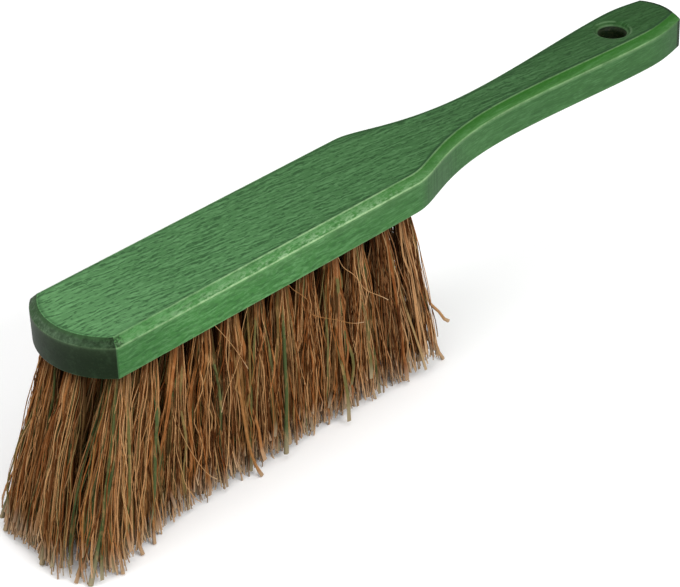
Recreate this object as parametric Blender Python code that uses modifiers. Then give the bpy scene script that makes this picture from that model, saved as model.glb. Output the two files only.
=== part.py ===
"""Hand brush: a green-stained beech stock with drilled tufts of natural fibre.

Units are metres and +Z is up. The brush stands on its bristle tips at z = 0,
its nose points to -X and its handle to +X.
"""

import math
import random

import bmesh
import bpy
from mathutils import Matrix, Vector
from mathutils.geometry import interpolate_bezier

# Stock: one flat board, shaped in plan
BOARD_THICKNESS = 0.016
BLOCK_WIDTH = 0.048
BLOCK_LENGTH = 0.1517
NOSE_BULGE = 0.0108
TOP_CHAMFER = 0.003
UNDERSIDE_EASE = 0.0008

# Handle: from the block's shoulder to the narrow neck, the wide palm and the tail
SHOULDER_LENGTH = 0.0679
SHOULDER_SOFTNESS = 0.0138
NECK_WIDTH = 0.0212
NECK_ENTRY = 0.0422
NECK_EXIT = 0.0283
PALM_LENGTH = 0.0865
PALM_WIDTH = 0.0302
PALM_ENTRY = 0.023
PALM_EXIT = 0.0098
TAIL_LENGTH = 0.0224
TAIL_WIDTH = 0.0234
TAIL_ENTRY = 0.0053
TAIL_FLARE = 0.001
TAIL_BULGE = 0.0034

# Hang hole, countersunk on both faces
HANG_SETBACK = 0.0349
HANG_BORE_RADIUS = 0.005
HANG_RIM_RADIUS = 0.008
HANG_RIM_DEPTH = 0.0025

# Drilled tuft holes
ROWS = 4
COLUMNS = 12
HOLE_RADIUS = 0.0035
HOLE_DEPTH = 0.011
SIDE_MARGIN = 0.0062
OUTER_ROW_START = 0.005
INNER_ROW_SETBACK = 0.0065
REAR_MARGIN = 0.0031
SEAT_CLEARANCE = 0.0003

# Bristles
BRISTLE_HEIGHT = 0.072
STRANDS_PER_TUFT = 10
STRAND_ROOT_RADIUS = 0.00047
STRAND_TIP_RADIUS = 0.00105
STRAND_CLEARANCE = 0.00015
ROOT_OVERLAP = 0.0015
TRIM_DEPTH = 0.0005
UNEVEN_TIPS = 0.009
LONG_SHARE = 0.45
FRONT_FLARE = 0.022
FRONT_FLARE_REACH = 0.062
REAR_FLARE = 0.008
REAR_FLARE_REACH = 0.045
SIDE_FLARE = 0.0035
LEFT_CORNER_GAIN = 0.8
RIGHT_CORNER_GAIN = 0.35
LEFT_FRONT_GAIN = 1.9
REAR_SIDE_GAIN = 1.3
SEED = 7

# How finely the curves are stepped
NOSE_STEPS = 20
SHOULDER_STEPS = 16
PALM_STEPS = 14
TAIL_STEPS = 8
TAIL_END_STEPS = 8
HOLE_SIDES = 12
PLUG_SIDES = 8
STRAND_SIDES = 3
HANG_SIDES = 32
CUTTER_MARGIN = 0.004
WELD_DISTANCE = 0.000001

# Edges sharper than these stay sharp where the rest is shaded smooth
STOCK_SHARP_ANGLE = math.radians(35)
TUFT_SHARP_ANGLE = math.radians(50)

GREEN_STAIN = (0.10, 0.29, 0.10, 1.0)
BROWN_FIBRE = (0.33, 0.15, 0.07, 1.0)
GREEN_FIBRE = (0.13, 0.17, 0.07, 1.0)

HALF_BLOCK = BLOCK_WIDTH / 2
NECK_X = BLOCK_LENGTH + SHOULDER_LENGTH
PALM_X = NECK_X + PALM_LENGTH
TAIL_X = PALM_X + TAIL_LENGTH
UNDERSIDE_Z = BRISTLE_HEIGHT
TOP_Z = BRISTLE_HEIGHT + BOARD_THICKNESS
HANG_X = TAIL_X + TAIL_BULGE - HANG_SETBACK
PLUG_RADIUS = HOLE_RADIUS * math.cos(math.pi / HOLE_SIDES) - SEAT_CLEARANCE
OUTER_ROW_Y = HALF_BLOCK - SIDE_MARGIN
ROW_PITCH = 2 * OUTER_ROW_Y / (ROWS - 1)
LAST_COLUMN_X = BLOCK_LENGTH - REAR_MARGIN


def clear_scene():
    for obj in list(bpy.data.objects):
        bpy.data.objects.remove(obj, do_unlink=True)


def new_collection(name):
    collection = bpy.data.collections.new(name)
    bpy.context.scene.collection.children.link(collection)
    return collection


def new_material(name, colour, roughness):
    material = bpy.data.materials.new(name)
    material.use_nodes = True
    shader = material.node_tree.nodes["Principled BSDF"]
    shader.inputs["Base Color"].default_value = colour
    shader.inputs["Roughness"].default_value = roughness
    shader.inputs["Metallic"].default_value = 0.0
    return material


def add_object(name, mesh, collection, parent):
    obj = bpy.data.objects.new(name, mesh)
    collection.objects.link(obj)
    obj.parent = parent
    return obj


def make_helper(obj):
    obj.hide_render = True
    obj.display_type = "WIRE"


def mesh_from(bm, name):
    mesh = bpy.data.meshes.new(name)
    bm.to_mesh(mesh)
    bm.free()
    return mesh


def arc_points(half_width, bulge, steps):
    """Points of an arc across the board, from -Y to +Y, as (distance out, y)."""
    radius = (half_width**2 + bulge**2) / (2 * bulge)
    half_angle = math.asin(half_width / radius)
    points = []
    for step in range(steps + 1):
        angle = half_angle * (2 * step / steps - 1)
        out = radius * math.cos(angle) - (radius - bulge)
        points.append((out, radius * math.sin(angle)))
    return points


def side_curve():
    """The +Y side of the handle, from the block's shoulder to the tail's corner."""
    shoulder = Vector((BLOCK_LENGTH, HALF_BLOCK))
    neck = Vector((NECK_X, NECK_WIDTH / 2))
    palm = Vector((PALM_X, PALM_WIDTH / 2))
    tail = Vector((TAIL_X, TAIL_WIDTH / 2))
    shoulder_out = shoulder + Vector((SHOULDER_SOFTNESS, 0))
    neck_in = neck - Vector((NECK_ENTRY, 0))
    neck_out = neck + Vector((NECK_EXIT, 0))
    palm_in = palm - Vector((PALM_ENTRY, 0))
    palm_out = palm + Vector((PALM_EXIT, 0))
    tail_in = tail + Vector((-TAIL_ENTRY, TAIL_FLARE))
    points = interpolate_bezier(shoulder, shoulder_out, neck_in, neck, SHOULDER_STEPS)
    points += interpolate_bezier(neck, neck_out, palm_in, palm, PALM_STEPS)[1:]
    points += interpolate_bezier(palm, palm_out, tail_in, tail, TAIL_STEPS)[1:]
    return points


def board_outline():
    """The board in plan, anticlockwise from the nose's -Y corner."""
    nose = [(-out, y) for out, y in arc_points(HALF_BLOCK, NOSE_BULGE, NOSE_STEPS)]
    tail = [(TAIL_X + out, y) for out, y in arc_points(TAIL_WIDTH / 2, TAIL_BULGE, TAIL_END_STEPS)]
    side = [(point.x, point.y) for point in side_curve()]
    lower_side = [(x, -y) for x, y in side]
    upper_side = list(reversed(side))
    return nose[:1] + lower_side + tail[1:-1] + upper_side + nose[:0:-1]


def board_mesh():
    """The outline filled and extruded to the board's thickness."""
    curve = bpy.data.curves.new("stock_outline", "CURVE")
    curve.dimensions = "2D"
    curve.fill_mode = "BOTH"
    curve.extrude = BOARD_THICKNESS / 2
    outline = board_outline()
    spline = curve.splines.new("POLY")
    spline.points.add(len(outline) - 1)
    for point, (x, y) in zip(spline.points, outline):
        point.co = (x, y, 0, 1)
    spline.use_cyclic_u = True
    guide = bpy.data.objects.new("stock_outline", curve)
    bpy.context.scene.collection.objects.link(guide)
    graph = bpy.context.evaluated_depsgraph_get()
    mesh = bpy.data.meshes.new_from_object(guide.evaluated_get(graph))
    bpy.data.objects.remove(guide)
    bpy.data.curves.remove(curve)
    return mesh


def prepare_edges(mesh):
    """Welds the caps, makes each cap one face and marks its rim for the bevel."""
    bm = bmesh.new()
    bm.from_mesh(mesh)
    bmesh.ops.remove_doubles(bm, verts=bm.verts, dist=WELD_DISTANCE)
    caps = [face for face in bm.faces if abs(face.normal.z) > 0.5]
    inner = [edge for edge in bm.edges if all(face in caps for face in edge.link_faces)]
    bmesh.ops.dissolve_edges(bm, edges=inner)
    bmesh.ops.recalc_face_normals(bm, faces=bm.faces)
    weight = bm.edges.layers.float.new("bevel_weight_edge")
    for face in bm.faces:
        if face.normal.z > 0.5:
            for edge in face.edges:
                edge[weight] = 1.0
        elif face.normal.z < -0.5:
            for edge in face.edges:
                edge[weight] = UNDERSIDE_EASE / TOP_CHAMFER
    bm.to_mesh(mesh)
    bm.free()


def turned_mesh(name, profile, sides):
    """A solid of revolution about Z, from (radius, z) pairs that run bottom to top."""
    bm = bmesh.new()
    for (low_radius, low_z), (high_radius, high_z) in zip(profile, profile[1:]):
        place = Matrix.Translation((0, 0, (low_z + high_z) / 2))
        bmesh.ops.create_cone(
            bm, cap_ends=False, segments=sides, radius1=low_radius,
            radius2=high_radius, depth=high_z - low_z, matrix=place,
        )
    bmesh.ops.remove_doubles(bm, verts=bm.verts, dist=WELD_DISTANCE)
    rims = [edge for edge in bm.edges if edge.is_boundary]
    bmesh.ops.holes_fill(bm, edges=rims)
    bmesh.ops.recalc_face_normals(bm, faces=bm.faces)
    return mesh_from(bm, name)


def hang_hole_profile():
    """The bore with a countersink on each face, past both faces of the board."""
    widening = (HANG_RIM_RADIUS - HANG_BORE_RADIUS) / HANG_RIM_DEPTH
    outer_radius = HANG_RIM_RADIUS + widening * CUTTER_MARGIN
    return [
        (outer_radius, UNDERSIDE_Z - CUTTER_MARGIN),
        (HANG_BORE_RADIUS, UNDERSIDE_Z + HANG_RIM_DEPTH),
        (HANG_BORE_RADIUS, TOP_Z - HANG_RIM_DEPTH),
        (outer_radius, TOP_Z + CUTTER_MARGIN),
    ]


def within(value, low, high):
    return min(high, max(low, value))


def flared(x, y):
    """Where bristles rooted at (x, y) would meet the floor. It rises with x and with y.

    The left side is the one worn in use, so its front corner is splayed further.
    """
    front = within(1 - (x - inner_row_start()) / FRONT_FLARE_REACH, 0, 1) ** 2
    rear = within(1 - (LAST_COLUMN_X - x) / REAR_FLARE_REACH, 0, 1) ** 2
    side = within(y / OUTER_ROW_Y, -1, 1)
    corner_gain = LEFT_CORNER_GAIN if side < 0 else RIGHT_CORNER_GAIN
    front_gain = LEFT_FRONT_GAIN if side < 0 else 0
    forward = FRONT_FLARE * front * (1 + corner_gain * side**2)
    outward = SIDE_FLARE * side * abs(side) * (1 + front_gain * front + REAR_SIDE_GAIN * rear)
    return (x - forward + REAR_FLARE * rear, y + outward)


def inner_row_start():
    """The first hole of an inner row, set back from the nose's arc."""
    return INNER_ROW_SETBACK - NOSE_BULGE


def tuft_columns(outer):
    """The x of each hole in a row. An inner row has one more, under the nose."""
    start = OUTER_ROW_START if outer else inner_row_start()
    count = COLUMNS if outer else COLUMNS + 1
    pitch = (LAST_COLUMN_X - start) / (count - 1)
    return [start + pitch * column for column in range(count)]


def least_pitch():
    gaps = [ROW_PITCH]
    for outer in (True, False):
        columns = tuft_columns(outer)
        gaps.append(columns[1] - columns[0])
    return min(gaps)


def row_name(row):
    side = "left" if row < ROWS / 2 else "right"
    place = "outer" if row in (0, ROWS - 1) else "inner"
    return f"{side}_{place}"


def tuft_places():
    """Each tuft's name, hole mouth and the number that seeds it, alike on both sides."""
    places = []
    for row in range(ROWS):
        y = row * ROW_PITCH - OUTER_ROW_Y
        outer = row in (0, ROWS - 1)
        for column, x in enumerate(tuft_columns(outer)):
            name = f"tuft_{row_name(row)}_{column + 1:02d}"
            seed = SEED + column * ROWS + min(row, ROWS - 1 - row)
            places.append((name, Vector((x, y, UNDERSIDE_Z)), seed))
    return places


def tuft_axis(mouth):
    """The hole's direction, up into the board, in line with its flared bristles."""
    foot = Vector((*flared(mouth.x, mouth.y), 0))
    return (mouth - foot).normalized()


def rod(bm, low, high, radius, sides):
    """A cylinder between two points."""
    axis = high - low
    turn = axis.to_track_quat("Z", "Y").to_matrix().to_4x4()
    bmesh.ops.create_cone(
        bm, cap_ends=True, segments=sides, radius1=radius, radius2=radius,
        depth=axis.length, matrix=Matrix.Translation((low + high) / 2) @ turn,
    )


def hole_cutter(bm, mouth):
    axis = tuft_axis(mouth)
    rod(bm, mouth - axis * CUTTER_MARGIN, mouth + axis * HOLE_DEPTH, HOLE_RADIUS, HOLE_SIDES)


def strand(bm, tip, mouth, turn):
    """A fibre from its tip to inside the root plug, thinner at the root, level at both ends."""
    rise = (mouth - tip) / (mouth.z - tip.z)
    top = mouth + rise * ROOT_OVERLAP
    corner_on_x = -math.pi / 2
    made = bmesh.ops.create_cone(
        bm, cap_ends=True, segments=STRAND_SIDES, radius1=1, radius2=1, depth=1,
        matrix=Matrix.Rotation(turn + corner_on_x, 4, "Z"),
    )
    for vert in made["verts"]:
        up = vert.co.z + 0.5
        radius = STRAND_TIP_RADIUS + up * (STRAND_ROOT_RADIUS - STRAND_TIP_RADIUS)
        centre = tip.lerp(top, up)
        vert.co = centre + Vector((vert.co.x * radius, vert.co.y * radius, 0))


def strand_mesh(name, mouth, seed):
    """The tuft's fibres. They fan out on one rising map, so that none cross."""
    draw = random.Random(seed)
    side = math.copysign(1, mouth.y)
    start = draw.uniform(0, math.tau)
    root_reach = PLUG_RADIUS * math.cos(math.pi / PLUG_SIDES) - STRAND_ROOT_RADIUS
    tip_reach = least_pitch() / 2 - STRAND_TIP_RADIUS - STRAND_CLEARANCE
    golden_turn = math.pi * (3 - math.sqrt(5))
    bm = bmesh.new()
    for index in range(STRANDS_PER_TUFT):
        share = math.sqrt((index + 0.5) / STRANDS_PER_TUFT)
        angle = start + index * golden_turn
        across = Vector((math.cos(angle), side * math.sin(angle), 0)) * share
        mouth_point = mouth + across * root_reach
        aim = mouth + across * tip_reach
        length_cut = -TRIM_DEPTH if draw.random() < LONG_SHARE else draw.uniform(0, UNEVEN_TIPS)
        tip = Vector((*flared(aim.x, aim.y), length_cut))
        strand(bm, tip, mouth_point, side * draw.uniform(0, math.tau))
    trim_at_floor(bm)
    return mesh_from(bm, name)


def trim_at_floor(bm):
    """Cuts the longest fibres flat where the brush stands on them."""
    geometry = bm.verts[:] + bm.edges[:] + bm.faces[:]
    bmesh.ops.bisect_plane(bm, geom=geometry, plane_co=(0, 0, 0), plane_no=(0, 0, 1), clear_inner=True)
    bmesh.ops.holes_fill(bm, edges=[edge for edge in bm.edges if edge.is_boundary])


def plug_mesh(name, mouth):
    """The tuft's bound root, which fills its drilled hole."""
    axis = tuft_axis(mouth)
    bm = bmesh.new()
    rod(bm, mouth, mouth + axis * (HOLE_DEPTH - SEAT_CLEARANCE), PLUG_RADIUS, PLUG_SIDES)
    return mesh_from(bm, name)


def shade_round(obj, sharp_angle):
    """Applies the modifiers and shades the result smooth between its sharp edges."""
    graph = bpy.context.evaluated_depsgraph_get()
    mesh = bpy.data.meshes.new_from_object(obj.evaluated_get(graph))
    obj.modifiers.clear()
    obj.data = mesh
    mesh.shade_smooth()
    mesh.set_sharp_from_angle(angle=sharp_angle)


def add_boolean(obj, name, operation, operand):
    modifier = obj.modifiers.new(name, "BOOLEAN")
    modifier.operation = operation
    modifier.solver = "EXACT"
    modifier.object = operand


def make_stock(parts, cutters, parent):
    mesh = board_mesh()
    prepare_edges(mesh)
    mesh.transform(Matrix.Translation((0, 0, (UNDERSIDE_Z + TOP_Z) / 2)))
    stock = add_object("stock", mesh, parts, parent)
    stock.data.materials.append(new_material("green_stained_beech", GREEN_STAIN, 0.5))
    bevel = stock.modifiers.new("top_chamfer", "BEVEL")
    bevel.limit_method = "WEIGHT"
    bevel.width = TOP_CHAMFER
    bevel.segments = 1
    bevel.use_clamp_overlap = False

    bm = bmesh.new()
    for _, mouth, _ in tuft_places():
        hole_cutter(bm, mouth)
    holes = add_object("tuft_hole_cutter", mesh_from(bm, "tuft_hole_cutter"), cutters, parent)
    make_helper(holes)
    add_boolean(stock, "tuft_holes", "DIFFERENCE", holes)

    hang_mesh = turned_mesh("hang_hole_cutter", hang_hole_profile(), HANG_SIDES)
    hang = add_object("hang_hole_cutter", hang_mesh, cutters, parent)
    hang.location = (HANG_X, 0, 0)
    make_helper(hang)
    add_boolean(stock, "hang_hole", "DIFFERENCE", hang)
    shade_round(stock, STOCK_SHARP_ANGLE)


def make_tuft(name, mouth, seed, parts, cutters, parent):
    """One drilled tuft: the root plug with its fibres joined on."""
    tuft = add_object(name, plug_mesh(name, mouth), parts, parent)
    colour = GREEN_FIBRE if random.Random(seed).random() < 0.25 else BROWN_FIBRE
    tuft.data.materials.append(new_material(f"{name}_fibre", colour, 0.7))
    fibres = add_object(f"{name}_fibres", strand_mesh(f"{name}_fibres", mouth, seed), cutters, parent)
    make_helper(fibres)
    add_boolean(tuft, "fibres", "UNION", fibres)
    shade_round(tuft, TUFT_SHARP_ANGLE)
    return fibres


def main():
    clear_scene()
    parts = new_collection("hand_brush")
    cutters = new_collection("cutters")
    brush = bpy.data.objects.new("hand_brush", None)
    parts.objects.link(brush)
    make_stock(parts, cutters, brush)
    front = -NOSE_BULGE
    for name, mouth, seed in tuft_places():
        fibres = make_tuft(name, mouth, seed, parts, cutters, brush)
        front = min(front, min(vert.co.x for vert in fibres.data.vertices))
    brush.location.x = -(front + TAIL_X + TAIL_BULGE) / 2
    print(f"hang hole at x = {HANG_X + brush.location.x:.5f} m")


main()
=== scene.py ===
"""The looks of the hand brush: stained beech stock, wavy fibre tufts, soft studio light."""

import math
import random
from types import SimpleNamespace

import bmesh
import bpy
from mathutils import Matrix, Vector
from mathutils.geometry import interpolate_bezier


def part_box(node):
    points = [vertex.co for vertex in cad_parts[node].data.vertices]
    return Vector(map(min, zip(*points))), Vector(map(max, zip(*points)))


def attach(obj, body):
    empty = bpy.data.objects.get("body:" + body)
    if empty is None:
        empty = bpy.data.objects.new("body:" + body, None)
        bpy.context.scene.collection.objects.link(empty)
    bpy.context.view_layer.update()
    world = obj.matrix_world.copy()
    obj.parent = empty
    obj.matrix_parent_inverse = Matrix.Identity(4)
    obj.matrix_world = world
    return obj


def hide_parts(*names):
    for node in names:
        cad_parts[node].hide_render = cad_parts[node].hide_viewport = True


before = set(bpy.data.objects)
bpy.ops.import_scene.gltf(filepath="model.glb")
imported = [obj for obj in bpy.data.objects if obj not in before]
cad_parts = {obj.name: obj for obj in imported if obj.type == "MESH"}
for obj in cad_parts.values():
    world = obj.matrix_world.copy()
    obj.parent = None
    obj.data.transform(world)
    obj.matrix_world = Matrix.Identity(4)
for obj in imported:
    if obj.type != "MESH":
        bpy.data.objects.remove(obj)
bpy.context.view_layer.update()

# Stock, from the nose's corners (board x = 0) to the tail, in metres
UNDERSIDE_Z, TOP_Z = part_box("stock")[0][2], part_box("stock")[1][2]
BLOCK_WIDTH = 0.048
BLOCK_LENGTH = 0.1517
NOSE_BULGE = 0.0108
TOP_CHAMFER = 0.003
SHOULDER_LENGTH = 0.0679
SHOULDER_SOFTNESS = 0.0138
NECK_WIDTH = 0.0212
NECK_ENTRY = 0.0422
NECK_EXIT = 0.0283
PALM_LENGTH = 0.0865
PALM_WIDTH = 0.0302
PALM_ENTRY = 0.023
PALM_EXIT = 0.0098
TAIL_LENGTH = 0.0224
TAIL_WIDTH = 0.0234
TAIL_ENTRY = 0.0053
TAIL_FLARE = 0.001
TAIL_BULGE = 0.0034
NECK_X = BLOCK_LENGTH + SHOULDER_LENGTH
PALM_X = NECK_X + PALM_LENGTH
TAIL_X = PALM_X + TAIL_LENGTH
BOARD_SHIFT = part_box("stock")[1][0] - TAIL_X - TAIL_BULGE

# Steps of the outline's stretches
NOSE_STEPS = 20
BLOCK_STEPS = 36
NECK_STEPS = 40
PALM_STEPS = 36
TAIL_CURVE_STEPS = 8
TAIL_STEPS = 6

# Finish of the stock's edges, and the wear and painted highlight along them
UNDERSIDE_ROUND = 0.0008
ARRIS_ROUND = 0.00028
CORNER_ROUND = 0.0007
ROUND_FADE = 0.0036
WORN_WIDTH = 0.00016
UNDERSIDE_WEAR_AND_HIGHLIGHT = 0.12
ARRIS_WEAR_AND_HIGHLIGHT = 1.0
TOP_WEAR_AND_HIGHLIGHT = 0.6
RIM_WIDTH = 0.0016
ROUND_STEPS = 3
WELD_DISTANCE = 0.0000005
STOCK_SHARP = math.radians(40)

# Hang hole
HANG_SETBACK = 0.0349
HANG_BORE_RADIUS = 0.005
HANG_RIM_RADIUS = 0.008
HANG_RIM_DEPTH = 0.0025
HANG_RIM_ROUND = 0.0007
HANG_SIDES = 64
CUT_MARGIN = 0.004
CUT_SKIN = 0.00002
HANG_X = TAIL_X + TAIL_BULGE - HANG_SETBACK + BOARD_SHIFT

# Drilled tufts
ROWS = 4
COLUMNS = 12
HOLE_RADIUS = 0.0035
HOLE_DEPTH = 0.011
HOLE_SIDES = 20
SIDE_MARGIN = 0.0062
OUTER_ROW_START = 0.005
INNER_ROW_START = 0.0065 - NOSE_BULGE
REAR_MARGIN = 0.0031
OUTER_ROW_Y = BLOCK_WIDTH / 2 - SIDE_MARGIN
ROW_PITCH = 2 * OUTER_ROW_Y / (ROWS - 1)
LAST_COLUMN_X = BLOCK_LENGTH - REAR_MARGIN
FRONT_FLARE = 0.022
FRONT_FLARE_REACH = 0.062
REAR_FLARE = 0.008
REAR_FLARE_REACH = 0.045
SIDE_FLARE = 0.0035
LEFT_CORNER_GAIN = 0.8
RIGHT_CORNER_GAIN = 0.35
LEFT_FRONT_GAIN = 1.9
REAR_SIDE_GAIN = 1.3

# Layout of a tuft
SEED = 11
FIBRES_PER_TUFT = 165
GOLDEN_SHARE = 3 - math.sqrt(5)
ANGLE_SCATTER = 0.25
ROOT_DEPTH = 0.005
ROOT_FAN = 0.0016
LEAVE_SHARE = 0.25
ARRIVE_SHARE = 0.66
KNEE_SHARE = 0.45
TIP_SPREAD = 0.0056
FRONT_SPREAD = 0.4
TIP_SCATTER = 0.0016
SWAY = 0.0012
WANDER_SHARE = 0.43
WANDER_SCATTER = 0.0065
WANDER_SWAY = 0.003
EDGE_REACH = 0.0042
REAR_REACH = 0.0025
POKE_SHARE = 0.07
POKE_REACH = 0.0028
FORWARD_SWEEP = 0.013
CORNER_BACK = 0.007
CORNER_OUT = 0.006
CORNER_SCATTER = (0, 1.2)
DROOP = (0.3, 0.9)

# Heights of the fibres' tips
TRIM_SHARE = 0.7
TRIM_SCATTER = 0.0025
SHORT_REACH = 0.01
FLOOR_SHARE = 0.05
TIP_LIFT = 0.0014
REAR_LIFT = 0.006
REAR_DRAW = 0.0045
REAR_WEAR = (0.6, 1.2)
LOWEST_PATH = 0.0002
LOWEST_VERT = 0.0001

# Shape of a fibre
FIBRE_SIDES = 5
FIBRE_RINGS = 18
FIBRE_RADIUS = (0.00014, 0.00027)
FLATNESS = (0.65, 1.0)
WIDE_SHARE = 0.08
WIDE_GREEN_SHARE = 0.5
WIDE_FIBRE_RADIUS = (0.0004, 0.0008)
WIDE_FLATNESS = (0.3, 0.55)
HAIR_SHARE = 0.15
HAIR_RADIUS = (0.00009, 0.00016)
MAX_TWIST = 1.5
UNEVENNESS = (0.9, 1.1)
TIP_SWELL = 0.4
SWELL_START = 0.85
FIBRE_SHARP = math.radians(80)
WAVES = ((0.001, (0.8, 1.8)), (0.0006, (2.0, 4.5)))
WAVE_FADE = (0.05, 0.4)

# Tone from dark to pale, with painted light on lit fibres and toward the nose and painted shade in the
# middle, hue from green to brown, and reach of the painted shade inside a tuft
TONE = 0.34
LIT_TONE = 0.1
FRONT_PAINTED_LIGHT = 0.21
MIDDLE_SHADE = 0.05
TONE_SCATTER = 0.37
WIDE_TONE_LIMIT = 0.62
HAIR_TONES = (0.8, 1.0)
LEAST_HUE = 0.07
GREEN_HUES = 0.16
HAIR_HUES = (0.25, 0.8)
ROOT_SHADE = 0.92
SHADE_START = 0.03
SHADED_REACH = 0.8
LIT_REACH = 0.25
EXPOSED = (-0.5, 0.4)

# Stretches of the board's x, then y, over which the bristles change
SPREAD_FADE = (0.0, 0.03)
SWEEP_START = (0.0, 0.035)
SWEEP_END = (0.1, 0.14)
CORNER_FADE = (0.0, 0.03)
MIDDLE_START = (0.01, 0.03)
MIDDLE_END = (0.07, 0.1)
PALE_FADE = (0.0, 0.04)
GREEN_FADE = (0.0, 0.05)
REAR_CORNER_X = (LAST_COLUMN_X - 0.003, LAST_COLUMN_X + 0.01)
REAR_CORNER_Y = (-0.004, 0.012)
DROOP_FADE_Y = (-0.012, 0.01)

# Each fibre's strip in the bake map: its foot and height, and the places of its two end caps
STRIP_GAP = 0.12
STRIP_FOOT = 0.02
STRIP_HEIGHT = 0.94
CAP_LEVELS = (0.005, 0.975)
CAP_SIZE = (0.4, 0.006)

# Single fibres that stand out: kind, tuft, knee and tip, as board x, y and depth in millimetres
STANDOUTS = [
    ("hair", "left_outer_09", (115, -26, 16), (130, -28, 27)),
    ("hair", "left_outer_07", (94, -26, 24), (117, -28, 31)),
    ("hair", "left_outer_06", (56, -25, 17), (43, -27.5, 35)),
    ("hair", "left_outer_04", (51, -24, 7), (58, -26, 24)),
    ("hair", "left_outer_03", (19, -27.5, 48), (36, -31, 60)),
    ("hair", "left_outer_03", (16, -27.5, 52), (27, -31, 66)),
    ("hair", "left_outer_01", (-16, -24, 44), (-9, -33, 68)),
    ("stub", "left_outer_12", (155, -23.5, 47), (166, -27, 55)),
    ("stub", "left_outer_12", (155, -23, 52), (162, -27, 71.5)),
    ("stub", "left_outer_05", (53, -27, 60), (59, -30, 71.5)),
    ("stub", "left_outer_01", (-18, -25, 50), (-31, -27, 71.5)),
    ("stub", "left_outer_01", (-10, -27, 50), (-16.5, -35, 71.5)),
    ("stub", "left_outer_02", (1, -26, 52), (-4, -32.5, 71.5)),
    ("stub", "left_outer_02", (6, -26, 50), (4, -30.5, 71.5)),
    ("green", "left_outer_01", (-4, -26, 25), (-28.5, -32, 71.5)),
    ("olive", "left_outer_01", (2, -26.5, 22), (-12, -31.5, 69)),
    ("green", "left_outer_01", (-8, -21, 28), (-29, -27, 70)),
    ("green", "left_outer_02", (16, -25.5, 25), (2, -29.5, 70)),
    ("olive", "left_inner_01", (-16.5, -8, 30), (-31.5, -10, 71.5)),
    ("green", "right_inner_01", (-16.5, 12.5, 34), (-27, 20.5, 69)),
    ("olive", "right_inner_01", (-16, 10.5, 36), (-29, 16, 71.5)),
    ("green", "left_outer_07", (78, -26, 30), (72, -29, 69)),
    ("olive", "left_outer_09", (108, -25.5, 30), (104, -28.5, 70)),
]

# Tone, hue and radius of each kind
STANDOUT_LOOKS = {
    "hair": (0.95, 0.35, 0.00013),
    "stub": (0.6, 0.35, 0.00062),
    "green": (0.5, 0.04, 0.0008),
    "olive": (0.55, 0.11, 0.0008),
}

# Camera: its place, what it looks at, its roll and lens
CAMERA_PLACE = Vector((BOARD_SHIFT - 0.4443, -0.6002, 0.5703))
CAMERA_AIM = Vector((BOARD_SHIFT + 0.0742, -0.0599, 0.088))
CAMERA_ROLL = math.radians(-2.215)
CAMERA_LENS = 132.35
CAMERA_SENSOR = 36

# Light: softboxes by name, place, aim, size and power, in a room of soft white light
SOFTBOXES = [
    ("key_light", (0.0, -2.0, 1.2), (0, 0, 0.06), (1.3, 1.0), 36),
    ("top_light", (-0.3, -0.2, 2.4), (0, 0, 0), (2.4, 2.4), 30),
    ("fill_light", (-1.6, 0.5, 0.5), (-0.1, 0, 0.04), (1.2, 0.8), 12),
]
ROOM_LIGHT = 0.56
FLOOR_SIZE = 6


def smooth(edge0, edge1, value):
    share = min(1.0, max(0.0, (value - edge0) / (edge1 - edge0)))
    return share * share * (3 - 2 * share)


def new_object(name, data):
    obj = bpy.data.objects.new(name, data)
    bpy.context.scene.collection.objects.link(obj)
    return obj


def new_mesh(name, bm):
    mesh = bpy.data.meshes.new(name)
    bm.to_mesh(mesh)
    bm.free()
    return mesh


def skin(rings, add_face):
    """Joins rings of equal size, each to the next, and closes the first and the last."""
    for lower, upper in zip(rings, rings[1:]):
        for here in range(len(lower)):
            following = (here + 1) % len(lower)
            add_face((lower[here], lower[following], upper[following], upper[here]))
    add_face(tuple(reversed(rings[0])))
    add_face(tuple(rings[-1]))


# Outline of the board


def arc_points(half_width, bulge, steps):
    radius = (half_width**2 + bulge**2) / (2 * bulge)
    half_angle = math.asin(half_width / radius)
    points = []
    for step in range(steps + 1):
        angle = half_angle * (2 * step / steps - 1)
        points.append(Vector((radius * math.cos(angle) - (radius - bulge), radius * math.sin(angle))))
    return points


def side_curve():
    """The +Y side, from the nose's corner to the tail's corner."""
    half = BLOCK_WIDTH / 2
    points = [Vector((BLOCK_LENGTH * step / BLOCK_STEPS, half)) for step in range(BLOCK_STEPS)]
    shoulder = Vector((BLOCK_LENGTH, half))
    neck = Vector((NECK_X, NECK_WIDTH / 2))
    palm = Vector((PALM_X, PALM_WIDTH / 2))
    tail = Vector((TAIL_X, TAIL_WIDTH / 2))
    stretches = [
        (shoulder, Vector((SHOULDER_SOFTNESS, 0)), Vector((-NECK_ENTRY, 0)), neck, NECK_STEPS),
        (neck, Vector((NECK_EXIT, 0)), Vector((-PALM_ENTRY, 0)), palm, PALM_STEPS),
        (palm, Vector((PALM_EXIT, 0)), Vector((-TAIL_ENTRY, TAIL_FLARE)), tail, TAIL_CURVE_STEPS),
    ]
    for start, leave, arrive, end, steps in stretches:
        curve = interpolate_bezier(start, start + leave, end + arrive, end, steps)
        points += [point.to_2d() for point in curve[:-1]]
    return points + [tail]


def board_outline():
    """The board in plan, anticlockwise from the nose's -Y corner, and the places of its corners."""
    nose_arc = arc_points(BLOCK_WIDTH / 2, NOSE_BULGE, NOSE_STEPS)
    tail_arc = arc_points(TAIL_WIDTH / 2, TAIL_BULGE, TAIL_STEPS)
    nose = [Vector((-out.x, out.y)) for out in nose_arc]
    tail = [Vector((TAIL_X + out.x, out.y)) for out in tail_arc]
    upper = side_curve()
    lower = [Vector((point.x, -point.y)) for point in upper]
    upper.reverse()
    outline = lower + tail[1:-1] + upper + nose[-2:0:-1]
    lower_tail = len(lower) - 1
    upper_tail = lower_tail + len(tail) - 1
    return outline, {0, lower_tail, upper_tail, upper_tail + len(upper) - 1}


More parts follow.
